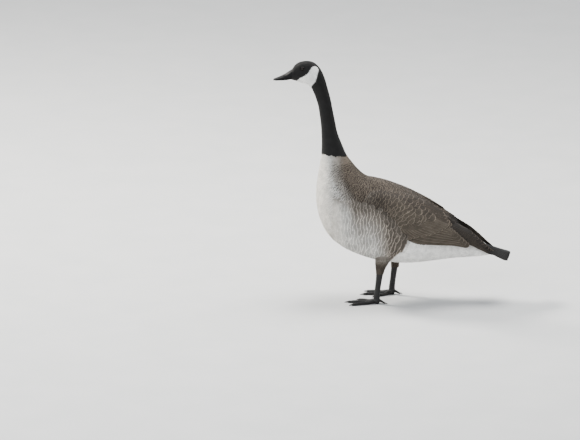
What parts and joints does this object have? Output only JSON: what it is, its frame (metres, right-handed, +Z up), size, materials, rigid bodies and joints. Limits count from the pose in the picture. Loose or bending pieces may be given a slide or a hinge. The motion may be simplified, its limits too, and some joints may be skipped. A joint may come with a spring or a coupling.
{
  "type": "canada goose display model",
  "caption": "Life-size still model of a standing Canada goose: black neck held up, white cheek patch, pale breast, barred flanks, folded brown wings, webbed feet flat on the floor.",
  "frame": {"origin": "on the floor, under the middle of the bird's bounding box", "axes": "+Z up; the bird faces -Y; +X is the bird's left side"},
  "size_m": [0.1714, 0.591, 0.61],
  "materials": {
    "black_plumage": "short soft black feathers with a faint sheen",
    "pale_plumage": "soft overlapping feathers, cream to grey-brown",
    "brown_plumage": "overlapping brown feathers with pale tips",
    "flight_feather": "stiff blackish quill feathers",
    "bill_horn": "satin black horn",
    "claw_horn": "satin black horn",
    "leg_scale": "dull black scaly skin",
    "eye_gloss": "wet dark brown eye"
  },
  "bodies": {
    "root": {"head": "black_plumage", "bill_upper": "bill_horn", "bill_lower": "bill_horn", "eye_left": "eye_gloss", "eye_right": "eye_gloss", "neck_upper": "black_plumage", "neck_lower": "black_plumage", "trunk": "pale_plumage", "tail": "flight_feather", "wing_left": "brown_plumage", "wing_right": "brown_plumage", "primaries_left": "flight_feather", "primaries_right": "flight_feather", "thigh_left": "pale_plumage", "shank_left": "leg_scale", "foot_left": "leg_scale", "claw_inner_left": "claw_horn", "claw_middle_left": "claw_horn", "claw_outer_left": "claw_horn", "claw_hind_left": "claw_horn", "thigh_right": "pale_plumage", "shank_right": "leg_scale", "foot_right": "leg_scale", "claw_inner_right": "claw_horn", "claw_middle_right": "claw_horn", "claw_outer_right": "claw_horn", "claw_hind_right": "claw_horn"}
  },
  "joints": []
}
